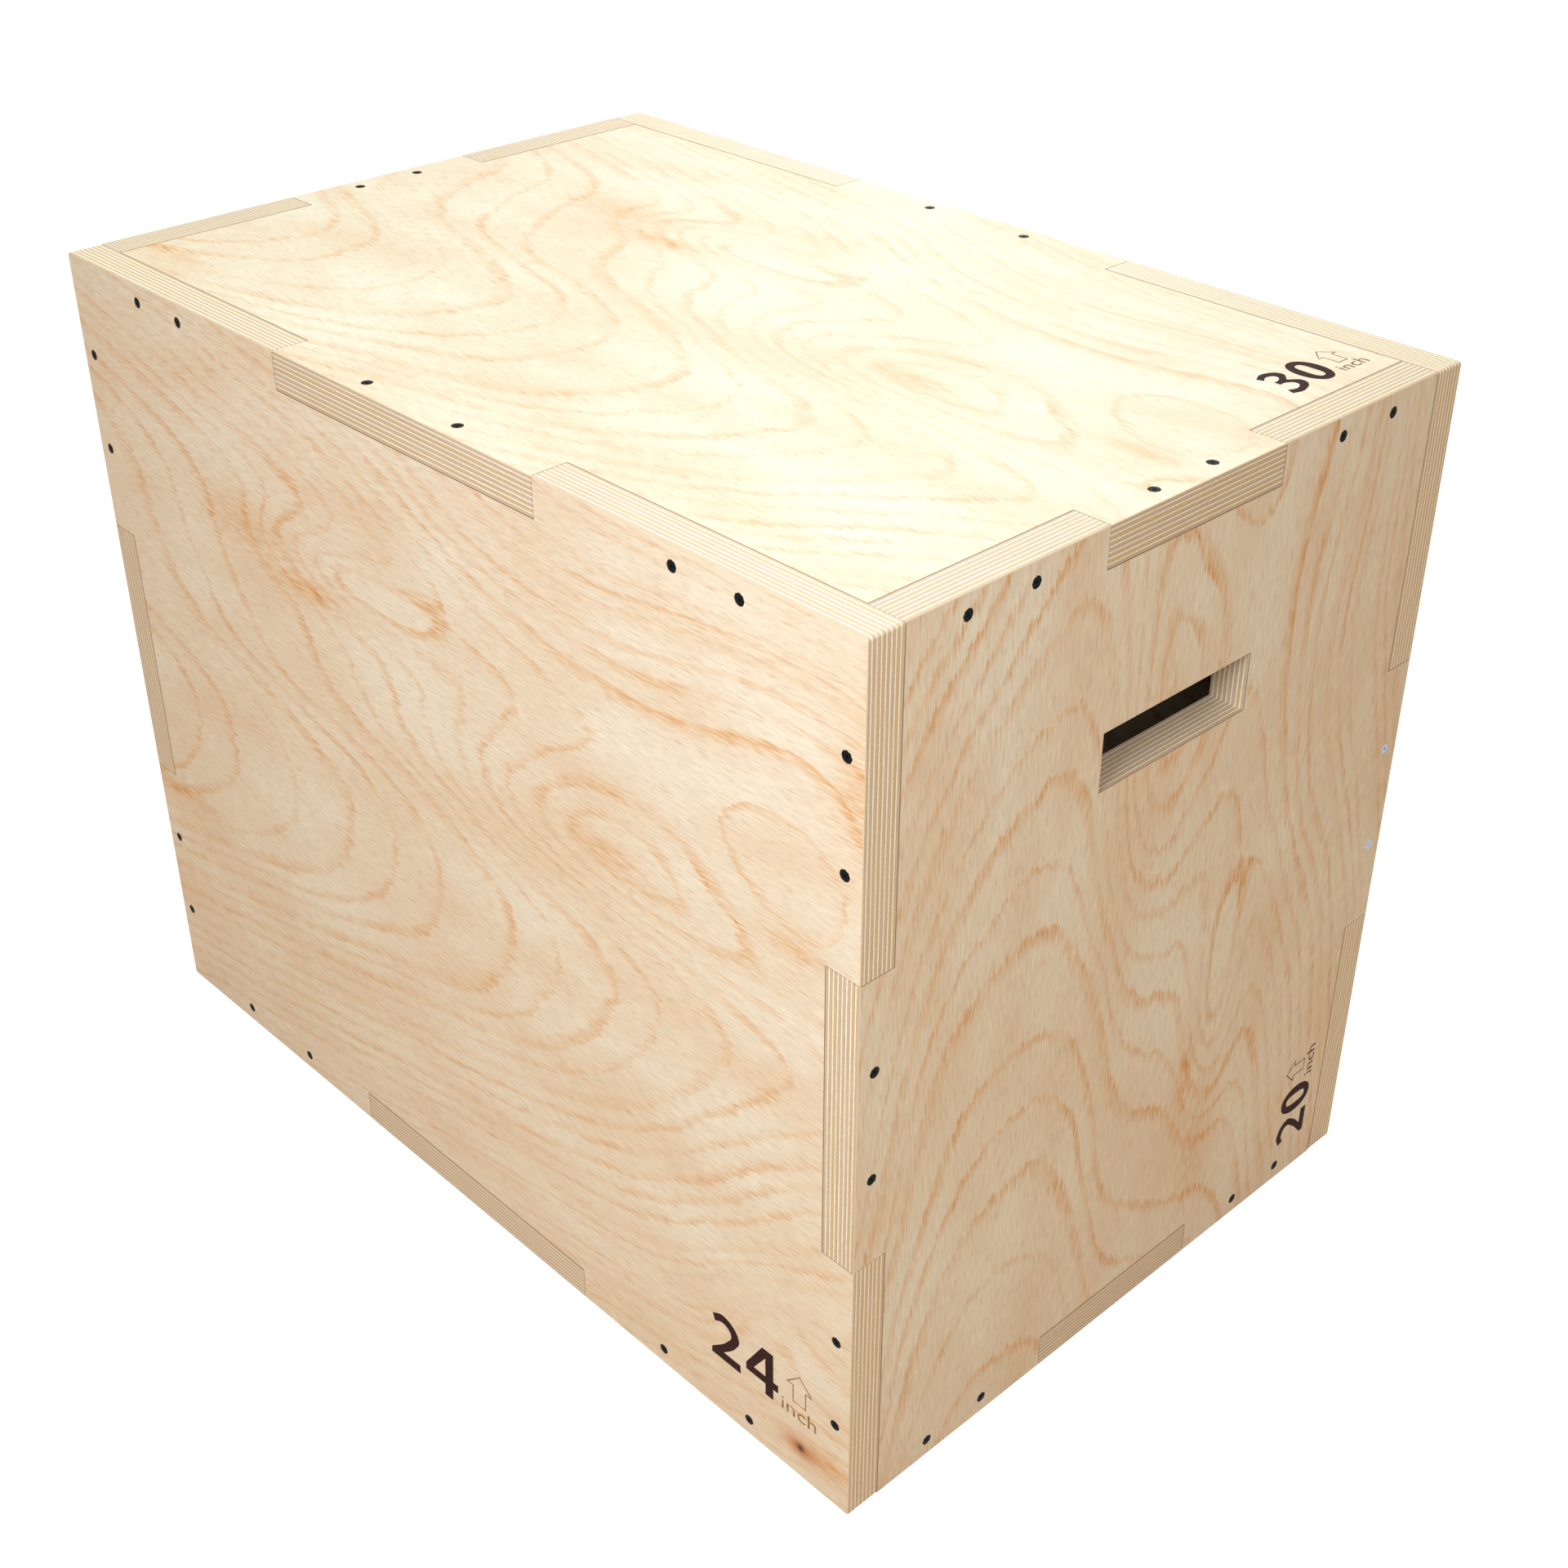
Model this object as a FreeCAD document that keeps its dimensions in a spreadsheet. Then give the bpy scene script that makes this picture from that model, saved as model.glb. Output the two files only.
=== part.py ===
import FreeCAD, Part
import os
import Sketcher

# Plywood plyo box: six panels locked together by fingers and notches, held by countersunk wood screws.
# It can stand on any face, so its length, depth and height are its three jump heights.
# Sizes are in millimetres. The origin is the middle of the underside, X runs along the length,
# the front panel faces -Y and Z points up.

# Driving dimensions
DIMENSIONS = [
    # The box as it stands, over its outer faces
    ("box_length", "762"),
    ("box_depth", "508"),
    ("box_height", "609.6"),
    # Panels: thickness, outline corners of the front and back panels, eased edges of every face
    ("ply", "25.4"),
    ("corner_round", "2"),
    ("arris", "0.4"),
    # Fingers of the top and bottom through the front and back, of the sides through the front and back,
    # and of the top and bottom through the sides, with the gap left at each flank of a finger
    ("long_finger", "254"),
    ("tall_finger", "203.2"),
    ("short_finger", "152.4"),
    ("finger_gap", "0.2"),
    # Hand slot of each side panel, and its drop below the top of the box
    ("slot_length", "133.35"),
    ("slot_height", "38.1"),
    ("slot_drop", "128.5"),
    # Wood screw: length over all, head with its upright rim, thread, end of the tip,
    # and how deep the head lies below the face
    ("screw_length", "50"),
    ("screw_head", "7.2"),
    ("head_rim", "0.3"),
    ("screw_thread", "4"),
    ("screw_tip", "0.8"),
    ("head_sink", "0.2"),
    # Screw holes: gaps round the head, the shank and the thread, and the room left beyond the tip
    ("seat_gap", "0.05"),
    ("shank_gap", "0.25"),
    ("thread_gap", "0.05"),
    ("tip_room", "2"),
    # Spacing of the two screws in each kind of finger
    ("long_finger_pitch", "88.9"),
    ("tall_finger_pitch", "76.2"),
    ("short_finger_pitch", "50.8"),
    # Spacing of the two screws in each run beside a finger, and how far the pair lies
    # from the middle of the run towards the corner of the box
    ("top_run_pitch", "50.8"),
    ("top_run_shift", "25.4"),
    ("bottom_run_pitch", "82.55"),
    ("bottom_run_shift", "9.525"),
    ("upright_run_pitch", "69.85"),
    ("upright_run_shift", "9.525"),
    ("side_run_pitch", "50.8"),
    ("side_run_shift", "6.35"),
]

doc = FreeCAD.newDocument("plyo_box")
sizes = doc.addObject("Spreadsheet::Sheet", "Sizes")
for line, (alias, value) in enumerate(DIMENSIONS, start=1):
    sizes.set(f"A{line}", alias)
    sizes.set(f"B{line}", value)
    sizes.setAlias(f"B{line}", alias)
doc.recompute()

# Formulas that several pieces share
PLY = "Sizes.ply"
HALF_PLY = "(Sizes.ply / 2)"
HALF_LENGTH = "(Sizes.box_length / 2)"
HALF_DEPTH = "(Sizes.box_depth / 2)"
HALF_HEIGHT = "(Sizes.box_height / 2)"
INNER_LENGTH = "(Sizes.box_length - 2 * Sizes.ply)"
INNER_DEPTH = "(Sizes.box_depth - 2 * Sizes.ply)"
INNER_HEIGHT = "(Sizes.box_height - 2 * Sizes.ply)"
# How far the middle of a panel's thickness lies from the middle of the box
LENGTH_TO_PLY = "((Sizes.box_length - Sizes.ply) / 2)"
DEPTH_TO_PLY = "((Sizes.box_depth - Sizes.ply) / 2)"

X_AXIS = FreeCAD.Vector(1, 0, 0)
Y_AXIS = FreeCAD.Vector(0, 1, 0)
Z_AXIS = FreeCAD.Vector(0, 0, 1)

# Points closer than this count as level with each other when edges are picked
LEVEL = 0.001


def negative(formula):
    return f"-({formula})"


# Drawing and cutting


def new_body(name):
    body = doc.addObject("PartDesign::Body", name)
    body.Label = name
    return body


def origin_feature(body, role):
    return next(feature for feature in body.Origin.OriginFeatures if feature.Role == role)


def new_sketch(body, name, plane):
    """A sketch on one of the body's own planes."""
    sketch = body.newObject("Sketcher::SketchObject", name)
    sketch.AttachmentSupport = [(origin_feature(body, plane), "")]
    sketch.MapMode = "FlatFace"
    return sketch


def dimension(sketch, kind, line, formula):
    """Hold the start of a line at a distance from the sketch's origin that follows a formula."""
    rule = Sketcher.Constraint(kind, -1, 1, line, 1, sizes.evalExpression(formula))
    sketch.setExpression(f"Constraints[{sketch.addConstraint(rule)}]", formula)


def rectangle(sketch, left, right, bottom, top):
    """Four lines, held square, with two opposite corners dimensioned."""
    points = []
    for across, up in ((left, bottom), (right, bottom), (right, top), (left, top)):
        points.append(FreeCAD.Vector(sizes.evalExpression(across), sizes.evalExpression(up), 0))
    first = sketch.GeometryCount
    for index in range(4):
        sketch.addGeometry(Part.LineSegment(points[index], points[(index + 1) % 4]))
    for index in range(4):
        following = first + (index + 1) % 4
        sketch.addConstraint(Sketcher.Constraint("Coincident", first + index, 2, following, 1))
    for line in (first, first + 2):
        sketch.addConstraint(Sketcher.Constraint("Horizontal", line))
        sketch.addConstraint(Sketcher.Constraint("Vertical", line + 1))
    for line, across, up in ((first, left, bottom), (first + 2, right, top)):
        dimension(sketch, "DistanceX", line, across)
        dimension(sketch, "DistanceY", line, up)


def centred_rectangle(sketch, width, height):
    rectangle(sketch, f"-{width} / 2", f"{width} / 2", f"-{height} / 2", f"{height} / 2")


def pad_panel(body, name, plane, width, height):
    """A rectangle of plywood, centred on the body's plane."""
    sketch = new_sketch(body, f"{name}_sketch", plane)
    centred_rectangle(sketch, width, height)
    pad = body.newObject("PartDesign::Pad", name)
    pad.Profile = sketch
    pad.SideType = "Symmetric"
    pad.setExpression("Length", PLY)
    doc.recompute()
    return pad


def cut_through(body, name, plane, outlines):
    """Cut outlines, each given as left, right, bottom and top, through the panel."""
    sketch = new_sketch(body, f"{name}_sketch", plane)
    for outline in outlines:
        rectangle(sketch, *outline)
    pocket = body.newObject("PartDesign::Pocket", name)
    pocket.Profile = sketch
    pocket.SideType = "Symmetric"
    pocket.setExpression("Length", f"2 * {PLY}")
    doc.recompute()


def ease_edges(body, thickness_axis):
    """Take the sharp arris off every edge of the panel's two faces."""
    base = body.Tip
    names = []
    for number, edge in enumerate(base.Shape.Edges, start=1):
        heights = [vertex.Point[thickness_axis] for vertex in edge.Vertexes]
        if max(heights) - min(heights) < LEVEL:
            names.append(f"Edge{number}")
    chamfer = body.newObject("PartDesign::Chamfer", "eased_edges")
    chamfer.Base = (base, names)
    chamfer.setExpression("Size", "Sizes.arris")
    doc.recompute()


def set_place(piece, rotation, x="0", y="0", z="0"):
    piece.Placement = FreeCAD.Placement(FreeCAD.Vector(), rotation)
    for letter, formula in zip("xyz", (x, y, z)):
        piece.setExpression(f"Placement.Base.{letter}", formula)


# Front and back panels: whole rectangles that own all the corners, with a notch in each edge


def face_panel(name, turn, y):
    body = new_body(name)
    pad = pad_panel(body, "sheet", "XZ_Plane", "Sizes.box_length", "Sizes.box_height")
    corners = []
    for number, edge in enumerate(pad.Shape.Edges, start=1):
        if edge.BoundBox.YLength > LEVEL:
            corners.append(f"Edge{number}")
    rounding = body.newObject("PartDesign::Fillet", "corner_rounds")
    rounding.Base = (pad, corners)
    rounding.setExpression("Radius", "Sizes.corner_round")
    doc.recompute()

    half_long = "(Sizes.long_finger / 2 + Sizes.finger_gap)"
    half_tall = "(Sizes.tall_finger / 2 + Sizes.finger_gap)"
    across_floor = f"({HALF_LENGTH} - {PLY})"
    up_floor = f"({HALF_HEIGHT} - {PLY})"
    cut_through(
        body,
        "notches",
        "XZ_Plane",
        [
            (negative(half_long), half_long, up_floor, HALF_HEIGHT),
            (negative(half_long), half_long, negative(HALF_HEIGHT), negative(up_floor)),
            (across_floor, HALF_LENGTH, negative(half_tall), half_tall),
            (negative(HALF_LENGTH), negative(across_floor), negative(half_tall), half_tall),
        ],
    )
    ease_edges(body, 1)
    set_place(body, FreeCAD.Rotation(Z_AXIS, turn), y=y, z=HALF_HEIGHT)
    return body


# Side panels: between the front and back, with a finger into each, notches above and below, and a hand slot


def side_panel(name, turn, x):
    body = new_body(name)
    pad_panel(body, "sheet", "YZ_Plane", INNER_DEPTH, "Sizes.box_height")
    pad_panel(body, "fingers", "YZ_Plane", "Sizes.box_depth", "Sizes.tall_finger")

    half_short = "(Sizes.short_finger / 2 + Sizes.finger_gap)"
    floor = f"({HALF_HEIGHT} - {PLY})"
    cut_through(
        body,
        "notches",
        "YZ_Plane",
        [
            (negative(half_short), half_short, floor, HALF_HEIGHT),
            (negative(half_short), half_short, negative(HALF_HEIGHT), negative(floor)),
        ],
    )
    half_slot = "(Sizes.slot_length / 2)"
    slot_top = f"({HALF_HEIGHT} - Sizes.slot_drop)"
    slot_bottom = f"({slot_top} - Sizes.slot_height)"
    cut_through(body, "hand_slot", "YZ_Plane", [(negative(half_slot), half_slot, slot_bottom, slot_top)])
    ease_edges(body, 0)
    set_place(body, FreeCAD.Rotation(Z_AXIS, turn), x=x, z=HALF_HEIGHT)
    return body


# Top and bottom panels: inside the other four, with a finger into each of them


def lid_panel(name, turn, z):
    body = new_body(name)
    pad_panel(body, "sheet", "XY_Plane", INNER_LENGTH, INNER_DEPTH)
    pad_panel(body, "long_fingers", "XY_Plane", "Sizes.long_finger", "Sizes.box_depth")
    pad_panel(body, "short_fingers", "XY_Plane", "Sizes.box_length", "Sizes.short_finger")
    ease_edges(body, 2)
    set_place(body, FreeCAD.Rotation(X_AXIS, turn), z=z)
    return body


# Screws and the drill that makes their holes: lengths of one width each, some ending in a cone that falls
# as far as it draws in. Heights are from the outer face of the panel. Flats in place of a round wall keep
# so many of them light.
FLATS = 8
HEAD_TOP = "(-Sizes.head_sink)"
RIM_BOTTOM = f"({HEAD_TOP} - Sizes.head_rim)"
HEAD_CONE = "((Sizes.screw_head - Sizes.screw_thread) / 2)"
HEAD_BOTTOM = f"({RIM_BOTTOM} - {HEAD_CONE})"
TIP_CONE = "((Sizes.screw_thread - Sizes.screw_tip) / 2)"
TIP = f"({HEAD_TOP} - Sizes.screw_length)"
SCREW = [
    ("head", "Sizes.screw_head", HEAD_TOP, HEAD_BOTTOM, HEAD_CONE),
    ("shank", "Sizes.screw_thread", HEAD_BOTTOM, TIP, TIP_CONE),
]
# The countersink lies parallel to the head, and the drill reaches as far above the face as the head lies below
SINK = "(Sizes.screw_head + 2 * Sizes.seat_gap)"
SHANK_HOLE = "(Sizes.screw_thread + 2 * Sizes.shank_gap)"
THREAD_HOLE = "(Sizes.screw_thread + 2 * Sizes.thread_gap)"
SINK_CONE = f"(({SINK} - {SHANK_HOLE}) / 2)"
SINK_BOTTOM = f"({RIM_BOTTOM} - {SINK_CONE})"
PANEL_INSIDE = "(-Sizes.ply)"
DRILL = [
    ("countersink", SINK, "Sizes.head_sink", SINK_BOTTOM, SINK_CONE),
    ("shank_hole", SHANK_HOLE, SINK_BOTTOM, PANEL_INSIDE, None),
    ("thread_hole", THREAD_HOLE, PANEL_INSIDE, f"({TIP} - Sizes.tip_room)", None),
]


def pin_length(body, name, across, width, top, bottom):
    """A straight length round a pin's axis, its width measured across the flats."""
    length = body.newObject("PartDesign::AdditivePrism", name)
    length.AttachmentSupport = [(origin_feature(body, "XY_Plane"), "")]
    length.MapMode = "FlatFace"
    length.Polygon = FLATS
    length.setExpression("Circumradius", f"{width} / 2 / cos(180 deg / {FLATS})")
    length.setExpression("Height", f"{top} - {bottom}")
    length.setExpression("AttachmentOffset.Base.x", across)
    length.setExpression("AttachmentOffset.Base.z", bottom)
    doc.recompute()


def pin_cone(body, name, size):
    """Draw the lower end of the pin in to a cone."""
    base = body.Tip
    lowest = base.Shape.BoundBox.ZMin
    names = []
    for number, edge in enumerate(base.Shape.Edges, start=1):
        if edge.BoundBox.ZMax - lowest < LEVEL:
            names.append(f"Edge{number}")
    cone = body.newObject("PartDesign::Chamfer", name)
    cone.Base = (base, names)
    cone.setExpression("Size", size)
    doc.recompute()


def pin_row(name, lengths, first, pitch):
    """Pins along a row: one is made, repeated at the pitch if there is one, and mirrored to the other end."""
    body = new_body(name)
    body.AllowCompound = True
    for part, width, top, bottom, cone in lengths:
        pin_length(body, part, first, width, top, bottom)
        if cone is not None:
            pin_cone(body, f"{part}_cone", cone)
    if pitch is not None:
        pair = body.newObject("PartDesign::LinearPattern", "pair")
        pair.TransformMode = "Whole shape"
        pair.Direction = (origin_feature(body, "X_Axis"), [""])
        pair.setExpression("Length", pitch)
        pair.Occurrences = 2
        body.Tip = pair
        doc.recompute()
    ends = body.newObject("PartDesign::Mirrored", "both_ends")
    ends.TransformMode = "Whole shape"
    ends.MirrorPlane = (origin_feature(body, "YZ_Plane"), [""])
    body.Tip = ends
    doc.recompute()
    return body


def placed_row(name, row, outward, along, place):
    """A copy of a row of pins, set on one edge of a panel."""
    copy = doc.addObject("Part::Compound", name)
    copy.Label = name
    copy.Links = [row]
    set_place(copy, FreeCAD.Rotation(along, outward.cross(along), outward, "ZXY"), *place)
    return copy


def drilled_panel(name, blank, drills):
    """A panel with the holes of its own screws and of those that end in its edges."""
    bits = doc.addObject("Part::Compound", f"{name}_drills")
    bits.Links = drills
    panel = doc.addObject("Part::Cut", name)
    panel.Label = name
    panel.Base = blank
    panel.Tool = bits
    doc.recompute()
    if not panel.Shape.Volume < blank.Shape.Volume:
        raise RuntimeError(f"{name} has no holes")
    return panel


# Kinds of row, by the place of the screw nearest to the row's middle and the pitch to the next one outwards


def run_beside(finger, inner_size, name):
    """Two screws at each end of a row, between a finger and the inner face of the panel at the corner."""
    pitch = f"Sizes.{name}_pitch"
    middle = f"(({inner_size} + Sizes.{finger}) / 4 + Sizes.{name}_shift)"
    return f"({middle} - {pitch} / 2)", pitch


def pair_in(finger):
    """Two screws in a finger, one each side of its middle."""
    return f"(Sizes.{finger}_pitch / 2)", None


row_kinds = {
    "top_run": run_beside("long_finger", INNER_LENGTH, "top_run"),
    "bottom_run": run_beside("long_finger", INNER_LENGTH, "bottom_run"),
    "upright_run": run_beside("tall_finger", INNER_HEIGHT, "upright_run"),
    "side_run": run_beside("short_finger", INNER_DEPTH, "side_run"),
    "long_pair": pair_in("long_finger"),
    "tall_pair": pair_in("tall_finger"),
    "short_pair": pair_in("short_finger"),
}

# The box, put together: each row of screws goes through one panel, into the panel on that edge of it
TOP_LINE = f"(Sizes.box_height - {HALF_PLY})"
rows = []
for panel, outward, y in (("front", -Y_AXIS, negative(HALF_DEPTH)), ("back", Y_AXIS, HALF_DEPTH)):
    for edge, z in (("top", TOP_LINE), ("bottom", HALF_PLY)):
        rows.append((panel, edge, f"{edge}_run", outward, X_AXIS, ("0", y, z)))
    for edge, x in (("left", negative(LENGTH_TO_PLY)), ("right", LENGTH_TO_PLY)):
        rows.append((panel, edge, "upright_run", outward, Z_AXIS, (x, y, HALF_HEIGHT)))
for panel, outward, x in (("left", -X_AXIS, negative(HALF_LENGTH)), ("right", X_AXIS, HALF_LENGTH)):
    for edge, z in (("top", TOP_LINE), ("bottom", HALF_PLY)):
        rows.append((panel, edge, "side_run", outward, Y_AXIS, (x, "0", z)))
    for edge, y in (("front", negative(DEPTH_TO_PLY)), ("back", DEPTH_TO_PLY)):
        rows.append((panel, edge, "tall_pair", outward, Z_AXIS, (x, y, HALF_HEIGHT)))
for panel, outward, z in (("top", Z_AXIS, "Sizes.box_height"), ("bottom", -Z_AXIS, "0")):
    for edge, y in (("front", negative(DEPTH_TO_PLY)), ("back", DEPTH_TO_PLY)):
        rows.append((panel, edge, "long_pair", outward, X_AXIS, ("0", y, z)))
    for edge, x in (("left", negative(LENGTH_TO_PLY)), ("right", LENGTH_TO_PLY)):
        rows.append((panel, edge, "short_pair", outward, Y_AXIS, (x, "0", z)))

screw_rows = {kind: pin_row(f"{kind}_pins", SCREW, *screws) for kind, screws in row_kinds.items()}
drill_rows = {kind: pin_row(f"{kind}_bits", DRILL, *screws) for kind, screws in row_kinds.items()}
nodes = []
drills = {}
for panel, edge, kind, *spot in rows:
    nodes.append(placed_row(f"{panel}_{edge}_screws", screw_rows[kind], *spot))
    drills[panel, edge] = placed_row(f"{panel}_{edge}_drill", drill_rows[kind], *spot)
blanks = {
    "front": ("front_panel", face_panel("front_blank", 0, negative(DEPTH_TO_PLY))),
    "back": ("back_panel", face_panel("back_blank", 180, DEPTH_TO_PLY)),
    "right": ("right_side_panel", side_panel("right_blank", 0, LENGTH_TO_PLY)),
    "left": ("left_side_panel", side_panel("left_blank", 180, negative(LENGTH_TO_PLY))),
    "top": ("top_panel", lid_panel("top_blank", 0, TOP_LINE)),
    "bottom": ("bottom_panel", lid_panel("bottom_blank", 180, HALF_PLY)),
}
for word, (name, blank) in blanks.items():
    nodes.append(drilled_panel(name, blank, [drill for row, drill in drills.items() if word in row]))
doc.recompute()

# Nothing is written unless every feature is sound and every cut removes wood
for item in doc.Objects:
    if {"Invalid", "Error"} & set(item.State):
        raise RuntimeError(f"{item.Label} failed: {item.State}")
    if item.TypeId in ("PartDesign::Pocket", "PartDesign::Fillet", "PartDesign::Chamfer"):
        if not item.Shape.Volume < item.BaseFeature.Shape.Volume:
            raise RuntimeError(f"{item.Label} removes nothing")
for node in nodes:
    if node.Shape.isNull() or not node.Shape.isValid():
        raise RuntimeError(f"{node.Label} has no valid shape")

os.makedirs("parts", exist_ok=True)
for node in nodes:
    node.Shape.exportStep(f"parts/{node.Label}.step")
    print(node.Label, len(node.Shape.Solids), "solids", round(node.Shape.Volume), "cubic mm")
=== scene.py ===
import math
import random

import bpy
from mathutils import Matrix, Vector


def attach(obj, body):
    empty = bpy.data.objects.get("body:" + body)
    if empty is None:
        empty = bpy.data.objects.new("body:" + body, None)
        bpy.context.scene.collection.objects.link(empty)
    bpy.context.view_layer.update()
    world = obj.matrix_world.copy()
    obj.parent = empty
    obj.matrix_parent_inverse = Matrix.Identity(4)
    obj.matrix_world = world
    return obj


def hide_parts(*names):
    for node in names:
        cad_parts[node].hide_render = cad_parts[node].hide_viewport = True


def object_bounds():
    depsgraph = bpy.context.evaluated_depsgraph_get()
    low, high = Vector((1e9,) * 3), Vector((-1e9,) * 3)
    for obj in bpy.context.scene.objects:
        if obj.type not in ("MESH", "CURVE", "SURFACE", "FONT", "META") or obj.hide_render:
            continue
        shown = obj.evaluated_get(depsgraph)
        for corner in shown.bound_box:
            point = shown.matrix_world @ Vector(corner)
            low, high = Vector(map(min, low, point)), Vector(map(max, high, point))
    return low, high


# Plywood plyo box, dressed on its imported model. Lengths are metres, or millimetres where a name ends in MM.
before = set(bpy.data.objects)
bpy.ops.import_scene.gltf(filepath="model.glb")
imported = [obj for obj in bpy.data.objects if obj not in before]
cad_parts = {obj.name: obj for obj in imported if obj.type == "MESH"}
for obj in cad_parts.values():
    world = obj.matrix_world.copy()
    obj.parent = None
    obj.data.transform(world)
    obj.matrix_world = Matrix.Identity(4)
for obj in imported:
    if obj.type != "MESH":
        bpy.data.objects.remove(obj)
cad_low, cad_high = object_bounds()

# Plywood panels
# Six birch plywood panels, routed with fingers and notches that lock at every edge of the box.
# Their faces are peeled veneer, sanded and sealed with matt lacquer. Their edges show the stacked plies.
MM = 0.001
LOW_MM = [value / MM for value in cad_low]
HIGH_MM = [value / MM for value in cad_high]
PLY_MM = 25.4

# How each panel's sheet lies: the turn, in degrees, that lays its grain along the first axis of the sheet
# and its thickness along the third, where the middle of the box's foot then comes to lie on the sheet, in mm,
# how strongly its rings show and how light its plies are.
# The front, the top and the right side come from the same stretch of log.
SHEETS = {
    "front_panel": ((90, 0, 0), (-LOW_MM[0], HIGH_MM[2], -LOW_MM[1]), 1.0, 1.1),
    "back_panel": ((-90, 180, 0), (HIGH_MM[0] + 40, -60, PLY_MM - HIGH_MM[1]), 1.0, 1.1),
    "right_side_panel": ((180, -90, 0), (90, 213, PLY_MM - HIGH_MM[0]), 1.2, 1.0),
    "left_side_panel": ((0, 90, 0), (30, 320, PLY_MM + LOW_MM[0]), 1.2, 1.0),
    "top_panel": ((180, 0, 0), (-LOW_MM[0], HIGH_MM[1] - 40, HIGH_MM[2]), 0.8, 1.0),
    "bottom_panel": ((0, 0, 0), (HIGH_MM[0] - 60, HIGH_MM[1] + 70, 0), 0.8, 1.0),
}

# Growth rings of the peeled sheet: the way along the grain that passes one ring, and how many more are
# passed across the grain on both sides of a ridge, as (distance below the sheet's edge in mm, rings)
RING_RUN_MM = 62
RINGS_ACROSS = [
    (-80, 18.0), (0, 11.4), (60, 6.6), (95, 4.6), (125, 3.9), (195, 3.4), (235, 2.8), (262, 1.4),
    (290, 0.35), (318, 0.0), (370, 0.25), (410, 1.3), (440, 3.2), (500, 7.6), (610, 16.5), (720, 25.6),
]
# Swellings of the log, which make eyes and bends: place along and across, half length and width, rings
SWELLINGS_MM = [
    ((500, 60), (150, 70), 2.4),
    ((556, 217), (125, 46), 3.6),
    ((330, 137), (95, 26), 3.4),
    ((745, 168), (85, 55), -2.6),
    ((760, 60), (120, 60), -2.5),
    ((830, 410), (200, 85), 5.0),
    ((715, 503), (52, 40), 2.6),
]
# Stained stretches: place along and across, half length and width, strength
STAINS_MM = [
    ((190, 140), (55, 16), 0.5),
    ((260, 160), (32, 7), 0.8),
    ((556, 219), (30, 9), 0.6),
    ((20, 417), (70, 6), 0.6),
    ((715, 205), (26, 7), 0.6),
    ((757, 90), (14, 34), 0.6),
    ((744, 580), (22, 11), 0.85),
]
# Length along the grain and width across it of each kind of mark in the veneer
WANDER_MM = (130, 75)
WIGGLE_MM = (30, 8)
TEETH_MM = (11, 1.6)
FADING_MM = (70, 26)
PATCH_MM = (150, 55)
FIBRE_MM = (14, 1.5)
DASH_MM = (11, 1.5)
PORE_MM = (8, 1.1)
# Over which span of its noise each kind of mark sets in
MARK_SPAN = (0.3, 0.7)
PATCH_SPAN = (0.34, 0.66)
FADING_SPAN = (0.36, 0.66)
DASH_SPAN = (0.55, 0.8)
PORE_SPAN = (0.75, 0.86)
# How strong faded rings, dashes and pores are, how much of a ring's tan the fibres take, from the darkest
# fibre to the lightest, and how light they are themselves
FADED_RINGS = 0.35
DASH_STRENGTH = 0.38
PORE_STRENGTH = 0.6
FIBRE_TINTS = (1.15, 0.2)
FIBRE_SHADES = (0.9, 1.06)
# How far the rings wander along and across the grain, and how far the fibres pull them along it
WANDER_REACH_MM = (30, 12)
WIGGLE_REACH_MM = 16
TEETH_REACH_MM = 18
# The dark late wood of a ring and its end: width, and the most that either takes of a ring
LATE_WOOD_MM = 9
LATE_WOOD_SHARE = 0.45
RING_END_MM = 2.6
RING_END_SHARE = 0.18
# How far a ring may stand off its even place, in rings, how often that changes for each ring,
# the strength of the faintest ring, and how crowded rings, counted for each mm, grow paler
RING_SHIFT = 0.8
SHIFTS_PER_RING = 0.7
FAINTEST_RING = 0.45
CROWDED_RINGS = (0.03, 0.1)
CROWDED_STRENGTH = 0.6
# A knot near the foot of the front: its place, its halo and its dark eye
KNOT_MM = (720, 584)
KNOT_HALO_MM = (15, 8)
KNOT_EYE_MM = (3.2, 3.2)

CREAM = "#F2E7D5"
PEACH = "#ECD6BC"
RING_TAN = "#E2A35A"
DASH_TAN = "#CE9250"
PORE_BROWN = "#8C6241"
KNOT_RUST = "#CB8244"
KNOT_DARK = "#3A2418"

# The edge: each pair of plies is a wide one with its grain across and a narrow light one with it along
PLY_PAIR_MM = 3.3
WIDE_PLY_SHARE = 0.63
GLUE_LINE_SHARE = 0.035
PLY_WAVE_MM = (60, 60, 4)
PLY_WAVE_REACH_MM = 0.5
PLY_STREAK_MM = (35, 35, 0.45)
PLY_PIT_MM = (2.0, 2.0, 0.6)
PLY_TAN = "#D4BBA1"
PLY_GOLD = "#D9BA8B"
PLY_CREAM = "#FCF2E0"
GLUE_BROWN = "#86664C"
# The share of the wide plies that aren't golden, the strength of the glue lines where the glue is thin,
# and how light the streaks and pits of a ply are
PLAIN_PLY_SHARE = 0.7
THIN_GLUE = 0.4
PLY_SHADES = (0.9, 1.08)
# The taken-off sharp edges: dark brown in the joints, painted shade for the grooves between the panels,
# and pale at the outer edges of the box, which lie within this reach of two of its sides at once
ARRIS_REACH_MM = 1
JOINT_SHADE_BROWN = "#9C8267"
ARRIS_TAN = "#DCC4A3"
# How far the normal of a face, and that of a taken-off edge, points out of the sheet
FACE_NORMAL = 0.9
ARRIS_NORMAL = math.cos(math.pi / 4)
ARRIS_NORMAL_PLAY = 0.1
# The matt lacquer: the fibres' height, how much of it is felt, roughness and gloss
FIBRE_HEIGHT_MM = 0.2
FIBRES_FELT = 0.15
LACQUER_ROUGHNESS = (0.48, 0.62)
LACQUER_GLOSS = 0.2


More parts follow.
